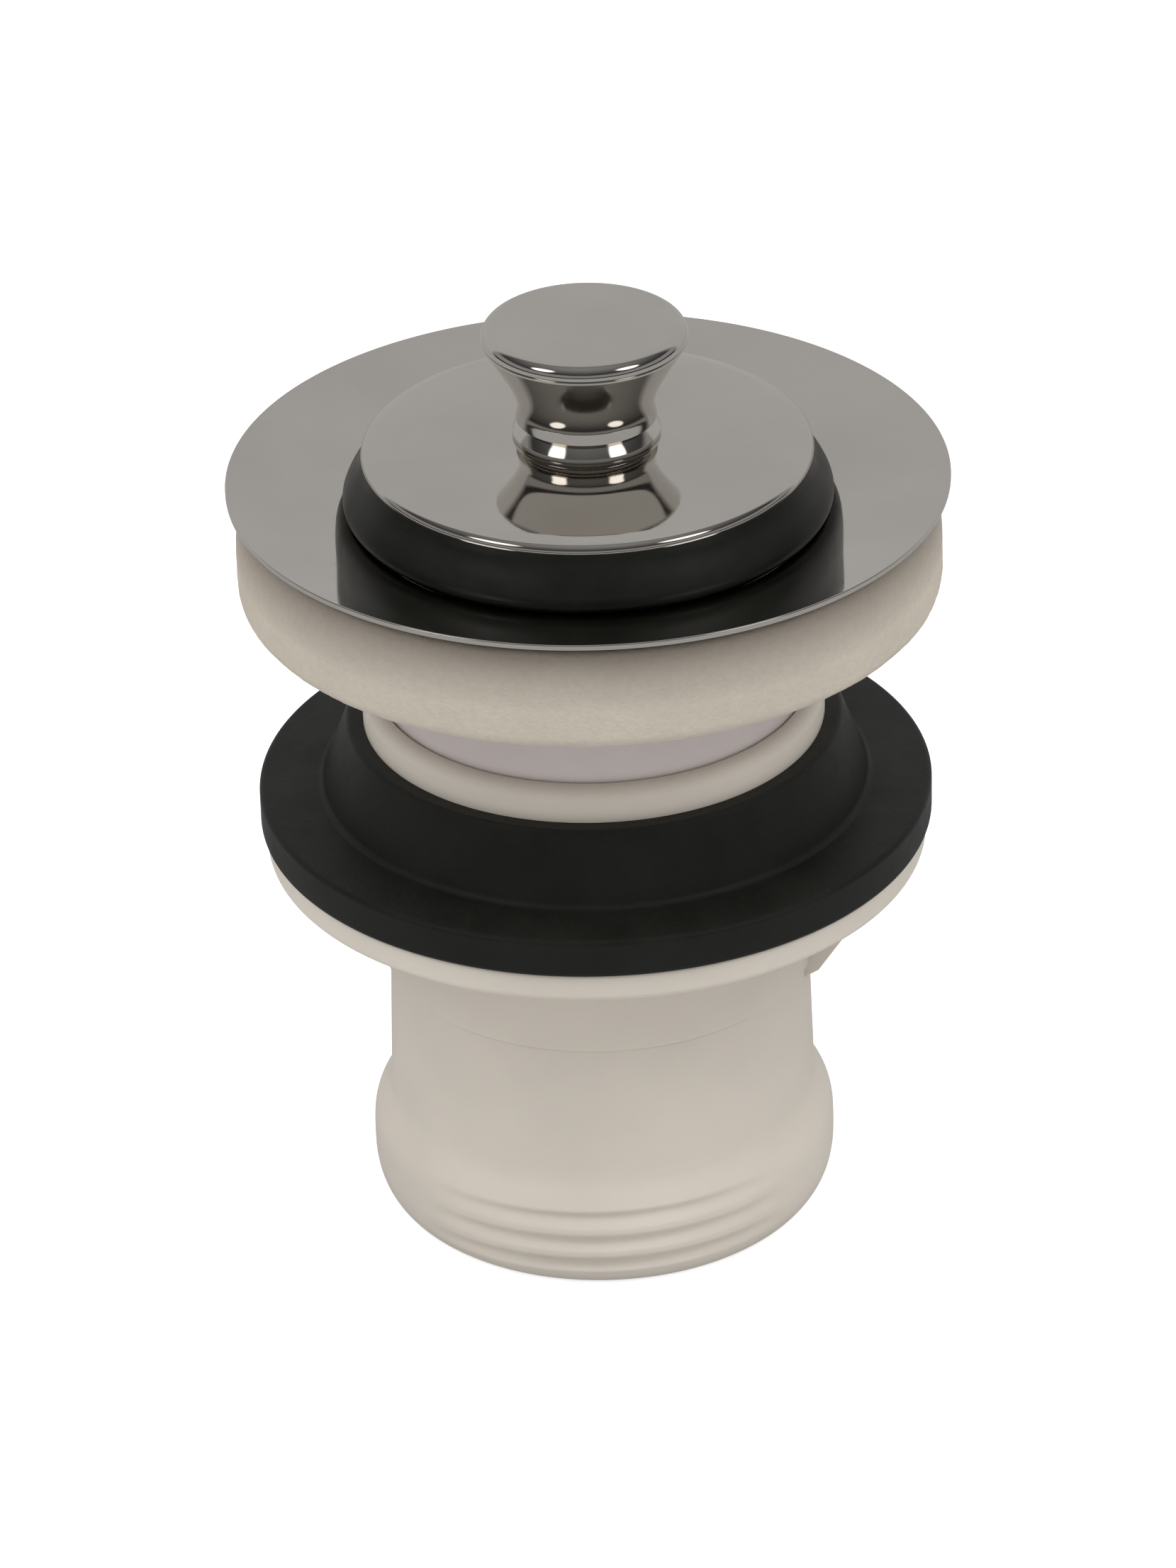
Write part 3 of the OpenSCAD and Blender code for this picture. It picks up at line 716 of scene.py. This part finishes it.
class WASTE_OT_body(WastePiece, bpy.types.Operator):
    """Mould the lower body: tail thread, tail, flange, collar, hub, arms and holding lugs"""
    bl_idname = "waste.body"
    bl_label = "Lower body"

    def execute(self, context):
        s = self.sizes
        gasket_z = foot_of("basin_gasket")
        flange_z = gasket_z - s.body_flange_t
        collar_top, collar_round = top_of("lower_body") - 1.0 * MM, 1.35 * MM
        edge_round, top_round = 0.8 * MM, 0.4 * MM
        socket_z = flange_z + 2.0 * MM
        draft_r, step_low = s.tail_r - s.tail_draft, s.step_z - 0.4 * MM
        foot = [(s.thread_r - drop * MM, z * MM) for drop, z in
                ((1.7, 0), (1.2, 0.45), (0.7, 1.2), (0.35, 2.1), (0.13, 3.3), (0.08, 4.5))]
        shoulder = [(s.thread_r - drop * MM, s.thread_len + z * MM) for drop, z in
                    ((0.08, -3.3), (0.15, -1.9), (0.42, -0.8), (0.9, 0.1), (1.35, 0.8), (1.66, 1.5))]
        skin = spline(foot + shoulder + [(s.tail_r, s.thread_len + 2.4 * MM)], 12)
        outline = (
            [(s.bore_r, 0)]
            + skin
            + line((s.tail_r - 0.01 * MM, s.thread_len + 3 * MM), (draft_r, step_low), 6)
            + [(draft_r, step_low), (s.shank_r, s.step_z), (s.shank_r, flange_z - edge_round)]
            + arc((s.shank_r + edge_round, flange_z - edge_round), edge_round, 180, 90, 5)[1:]
            + arc((s.body_flange_r - edge_round, flange_z + edge_round), edge_round, -90, 0)
            + arc((s.body_flange_r - top_round, gasket_z - top_round), top_round, 0, 90, 4)
            + [(s.collar_r, gasket_z)]
            + arc((s.collar_r - collar_round, collar_top - collar_round), collar_round, 0, 90, 12)
            + [(s.socket_r, socket_z), (s.bore_r, socket_z)])
        hub_low, hub_high = 2.5 * MM, top_of("threaded_insert")
        insert_low, insert_r = foot_of("threaded_insert"), radius_of("threaded_insert")
        hub_r, bevel, hub_sides = 7.0 * MM, 0.4 * MM, 96
        hole_r = s.screw_r + 0.4 * MM
        hub = [(hole_r, hub_low), (hub_r - bevel, hub_low), (hub_r, hub_low + bevel),
               (hub_r, hub_high - bevel), (hub_r - bevel, hub_high), (insert_r, hub_high),
               (insert_r, insert_low), (hole_r, insert_low)]
        web_t, arm_low, arm_high = 3 * MM, 3 * MM, 11 * MM
        wall_r, root_r = s.bore_r + 1 * MM, hub_r - 1 * MM
        arm = [(root_r, arm_low), (wall_r, arm_low), (wall_r, arm_high), (root_r, arm_high)]
        lug_foot, lug_top, toe = flange_z - 12.7 * MM, flange_z + 0.1 * MM, 0.8 * MM
        lug = [(wall_r, lug_foot), (draft_r, lug_foot), (s.shank_r + toe, lug_foot + toe),
               (s.body_flange_r - 1.5 * MM, lug_top), (wall_r, lug_top)]
        parts = [lathe_data(outline, s.sides, tail_thread_warp(s)), lathe_data(hub, hub_sides)]
        parts += [prism_data(arm, web_t, turn) for turn in (45, 135, 225, 315)]
        parts += [prism_data(lug, web_t, turn) for turn in (-10, 170)]
        dress(finish_mesh("moulded_body", *joined(parts), sharp=38), "white_plastic", "tail", "lower_body")
        return {"FINISHED"}


class WASTE_OT_gasket(WastePiece, bpy.types.Operator):
    """Mould the basin gasket with its tapered boss"""
    bl_idname = "waste.gasket"
    bl_label = "Basin gasket"

    def execute(self, context):
        s = self.sizes
        low, high, rim_r = foot_of("basin_gasket"), top_of("basin_gasket"), radius_of("basin_gasket")
        inner = s.collar_r + 0.05 * MM
        round_r, cove = 0.5 * MM, 0.7 * MM
        rim_z = low + s.gasket_t
        taper = math.degrees(math.atan2(s.boss_foot_r - s.boss_top_r, high - rim_z))
        outline = (
            [(inner, low), (rim_r - round_r, low)]
            + arc((rim_r - round_r, low + round_r), round_r, -60, 0, 5)
            + arc((rim_r - round_r, rim_z - round_r), round_r, 0, 90, 8)
            + arc((s.boss_foot_r + cove * 1.2, rim_z + cove), cove, 270, 180 + taper, 6)
            + arc((s.boss_top_r - round_r, high - round_r), round_r, taper, 90, 6)
            + [(inner, high)])
        dress(lathe("moulded_gasket", outline, s.sides), "gasket_rubber", "tail", "basin_gasket")
        return {"FINISHED"}


class WASTE_OT_screw(WastePiece, bpy.types.Operator):
    """Roll the clamp screw's thread and cut its socket"""
    bl_idname = "waste.screw"
    bl_label = "Clamp screw"

    def execute(self, context):
        s = self.sizes
        tip, top = foot_of("clamp_screw"), top_of("clamp_screw")
        head_r = radius_of("clamp_screw")
        head_z, edge = top - 2.8 * MM, 0.3 * MM
        point, plain_len, fade = 0.8 * MM, 6 * MM, 0.8 * MM
        socket_r, socket_z = 2.6 * MM, top - 2 * MM
        steps = round((head_z - tip - point) / s.screw_pitch * 8)
        shank = [(s.screw_r, tip + point + (head_z - tip - point) * i / steps) for i in range(steps + 1)]
        outline = (
            [(0, tip), (s.screw_r - point, tip)] + shank
            + [(head_r - edge, head_z), (head_r, head_z + edge), (head_r, top - edge), (head_r - edge, top),
               (s.screw_r, top), (socket_r, socket_z), (0, socket_z)])
        thread = thread_warp(s.screw_r, s.screw_pitch, 0.55 * MM, tip, head_z - plain_len, fade)
        dress(lathe("rolled_screw", outline, 48, thread, sharp=50), "steel", "screw", "clamp_screw")
        return {"FINISHED"}


# Stage: the photograph's camera, fitted to the circles of the object, in pixels of its frame
FRAME_PX = (1659, 2212)
FOCAL_PX = 10438
CENTRE_PX = (841.0, 1123.8)
CAMERA_DISTANCE = 0.658
CAMERA_ELEVATION = math.radians(29.76)
CAMERA_ROLL = math.radians(1.48)
AIM_Z = 38.7 * MM
LAMP_AIM_Z = 50 * MM
SENSOR = 36.0

# Strengths in the studio, where 1 is white
WHITE = 1.0
FILL = 0.86
FLOOR_GLOW = 0.6
MIRRORED_FLOOR = 0.44
MIRRORED_ROOM = 0.02
MIRRORED_BAND = 0.3
MIRRORED_BACKDROP = 0.49
MIRRORED_CEILING = 0.25
MIRRORED_PATCH = 2.0

# The two patches that chrome sees: where they are, and the cosines of the angles where they end
PATCH_AZIMUTH, PATCH_ELEVATION = 57, 45
PATCH_EDGE, PATCH_FULL = 0.979, 0.988


def make_camera():
    """The photograph's camera: from the front, thirty degrees above, with a long lens."""
    data = bpy.data.cameras.new("photo_camera")
    camera = bpy.data.objects.new("photo_camera", data)
    bpy.context.collection.objects.link(camera)
    long_side = max(FRAME_PX)
    data.sensor_width = SENSOR
    data.lens = FOCAL_PX * SENSOR / long_side
    data.shift_x = (FRAME_PX[0] / 2 - CENTRE_PX[0]) / long_side
    data.shift_y = (CENTRE_PX[1] - FRAME_PX[1] / 2) / long_side
    data.clip_start = 0.05
    data.clip_end = 20
    e = CAMERA_ELEVATION
    back = Vector((0, -math.cos(e), math.sin(e)))
    up = Vector((0, math.sin(e), math.cos(e)))
    level = Vector((1, 0, 0))
    right = math.cos(CAMERA_ROLL) * level - math.sin(CAMERA_ROLL) * up
    top = math.sin(CAMERA_ROLL) * level + math.cos(CAMERA_ROLL) * up
    pose = Matrix((right, top, back)).transposed().to_4x4()
    pose.translation = Vector((0, 0, AIM_Z)) + back * CAMERA_DISTANCE
    camera.matrix_world = pose
    bpy.context.scene.camera = camera


def direction(azimuth, elevation):
    """Unit vector away from the object. Azimuth 0 is in front, 90 on the right."""
    a, e = math.radians(azimuth), math.radians(elevation)
    return Vector((math.sin(a) * math.cos(e), -math.cos(a) * math.cos(e), math.sin(e)))


def softbox(name, azimuth, elevation, distance, width, height, power):
    """A soft lamp that looks at the object, and that mirrors don't show."""
    data = bpy.data.lights.new(name, "AREA")
    data.shape = "RECTANGLE"
    data.size = width
    data.size_y = height
    data.energy = power
    lamp = bpy.data.objects.new(name, data)
    away = direction(azimuth, elevation)
    lamp.location = Vector((0, 0, LAMP_AIM_Z)) + away * distance
    lamp.rotation_euler = away.to_track_quat("Z", "Y").to_euler()
    bpy.context.collection.objects.link(lamp)
    lamp.visible_glossy = False


def make_world():
    """White for the camera and even light for dull surfaces.

    Chrome sees a grey sweep behind the object, a dim room with a grey band low in front, a paler
    ceiling, and two soft patches in front to the left and the right.
    """
    world = bpy.data.worlds.new("studio")
    world.use_nodes = True
    tree = world.node_tree
    tree.nodes.clear()
    out = tree.nodes.new("ShaderNodeOutputWorld")
    rays = tree.nodes.new("ShaderNodeLightPath")
    where = tree.nodes.new("ShaderNodeTexCoord")
    split = tree.nodes.new("ShaderNodeSeparateXYZ")
    tree.links.new(where.outputs["Generated"], split.inputs[0])
    across, along, up = split.outputs
    height = math_node(tree, "POWER", math_node(tree, "MAXIMUM", up, 0.0), 3.5)
    room = math_node(tree, "ADD", math_node(tree, "MULTIPLY", height, MIRRORED_CEILING), MIRRORED_ROOM)
    behind = range_node(tree, along, 0.03, MIRRORED_BACKDROP, 0.33, 0.5)
    band = math_node(tree, "MULTIPLY", range_node(tree, up, 0.0, MIRRORED_BAND, 0.08, 0.16),
                     range_node(tree, up, 1.0, 0.1, 0.4, 0.5))
    sweep = math_node(tree, "MAXIMUM", math_node(tree, "MAXIMUM", room, behind), band)
    either_side = (math_node(tree, "ABSOLUTE", across), along, up)
    parts = [math_node(tree, "MULTIPLY", axis, share)
             for axis, share in zip(either_side, direction(PATCH_AZIMUTH, PATCH_ELEVATION))]
    facing = math_node(tree, "ADD", math_node(tree, "ADD", parts[0], parts[1]), parts[2])
    patches = range_node(tree, facing, 0.0, MIRRORED_PATCH, PATCH_EDGE, PATCH_FULL)
    mirrored = math_node(tree, "ADD", sweep, patches)
    lit = choice_node(tree, rays.outputs["Is Glossy Ray"], FILL, mirrored)
    seen = math_node(tree, "MAXIMUM", rays.outputs["Is Camera Ray"], rays.outputs["Is Transmission Ray"])
    sky = tree.nodes.new("ShaderNodeBackground")
    sky.inputs["Color"].default_value = (1, 1, 1, 1)
    tree.links.new(choice_node(tree, seen, lit, WHITE), sky.inputs["Strength"])
    tree.links.new(sky.outputs[0], out.inputs[0])
    bpy.context.scene.world = world


def make_floor(colours):
    """A plain pale floor, white to the camera, that keeps the object's shadow. Chrome sees it grey."""
    half = 4.0
    corners = [(-half, -half, 0), (half, -half, 0), (half, half, 0), (-half, half, 0)]
    mesh = bpy.data.meshes.new("floor")
    mesh.from_pydata(corners, [], [(0, 1, 2, 3)])
    floor = bpy.data.objects.new("floor", mesh)
    floor.location.z = -0.02 * MM
    bpy.context.collection.objects.link(floor)
    finish, tree, shader = new_finish("pale_floor", colours.floor, 0.9)
    shader.inputs["Specular IOR Level"].default_value = 0.0
    rays = tree.nodes.new("ShaderNodeLightPath")
    seen = math_node(tree, "MAXIMUM", rays.outputs["Is Camera Ray"], rays.outputs["Is Transmission Ray"])
    shader.inputs["Emission Color"].default_value = (1, 1, 1, 1)
    tree.links.new(math_node(tree, "MULTIPLY", seen, FLOOR_GLOW), shader.inputs["Emission Strength"])
    mirrored = tree.nodes.new("ShaderNodeEmission")
    mirrored.inputs["Color"].default_value = (1, 1, 1, 1)
    mirrored.inputs["Strength"].default_value = MIRRORED_FLOOR
    mix = tree.nodes.new("ShaderNodeMixShader")
    tree.links.new(rays.outputs["Is Glossy Ray"], mix.inputs[0])
    tree.links.new(shader.outputs[0], mix.inputs[1])
    tree.links.new(mirrored.outputs[0], mix.inputs[2])
    tree.links.new(mix.outputs[0], tree.nodes["Material Output"].inputs["Surface"])
    mesh.materials.append(finish)


class WASTE_OT_stage(WastePiece, bpy.types.Operator):
    """Set up the floor, the studio light and the photograph's camera"""
    bl_idname = "waste.stage"
    bl_label = "Stage"

    def execute(self, context):
        make_camera()
        make_floor(context.scene.waste_colours)
        make_world()
        softbox("softbox_left", -60, 50, 1.2, 0.6, 0.5, 3.6)
        softbox("softbox_right", 60, 50, 1.2, 0.6, 0.5, 3.6)
        softbox("softbox_above", 0, 80, 1.3, 1.3, 1.3, 3.5)
        context.scene.view_settings.view_transform = "Standard"
        return {"FINISHED"}


STEPS = (WASTE_OT_finishes, WASTE_OT_knob, WASTE_OT_disc, WASTE_OT_seal, WASTE_OT_flange, WASTE_OT_foam,
         WASTE_OT_body, WASTE_OT_gasket, WASTE_OT_screw, WASTE_OT_stage)


class WASTE_PT_panel(bpy.types.Panel):
    """Lists the pieces, their sizes and their colours"""
    bl_idname = "WASTE_PT_panel"
    bl_label = "Basin waste"
    bl_space_type = "VIEW_3D"
    bl_region_type = "UI"
    bl_category = "Waste"

    def draw(self, context):
        for step in STEPS:
            self.layout.operator(step.bl_idname, text=step.bl_label)
        for group in (context.scene.waste_sizes, context.scene.waste_colours):
            column = self.layout.column(align=True)
            for name in group.bl_rna.properties.keys():
                if name not in ("rna_type", "name"):
                    column.prop(group, name)


CLASSES = (WasteSizes, WasteColours, *STEPS, WASTE_PT_panel)


def register():
    """Registers the classes and hangs the settings on the scene."""
    for cls in CLASSES:
        bpy.utils.register_class(cls)
    bpy.types.Scene.waste_sizes = PointerProperty(type=WasteSizes)
    bpy.types.Scene.waste_colours = PointerProperty(type=WasteColours)


def unregister():
    """Takes the settings and the classes away again."""
    del bpy.types.Scene.waste_colours
    del bpy.types.Scene.waste_sizes
    for cls in reversed(CLASSES):
        bpy.utils.unregister_class(cls)


def main():
    register()
    bpy.ops.waste.finishes()
    bpy.ops.waste.knob()
    bpy.ops.waste.disc()
    bpy.ops.waste.seal()
    bpy.ops.waste.flange()
    bpy.ops.waste.foam()
    bpy.ops.waste.body()
    bpy.ops.waste.gasket()
    bpy.ops.waste.screw()
    bpy.ops.waste.stage()


if __name__ == "__main__":
    main()
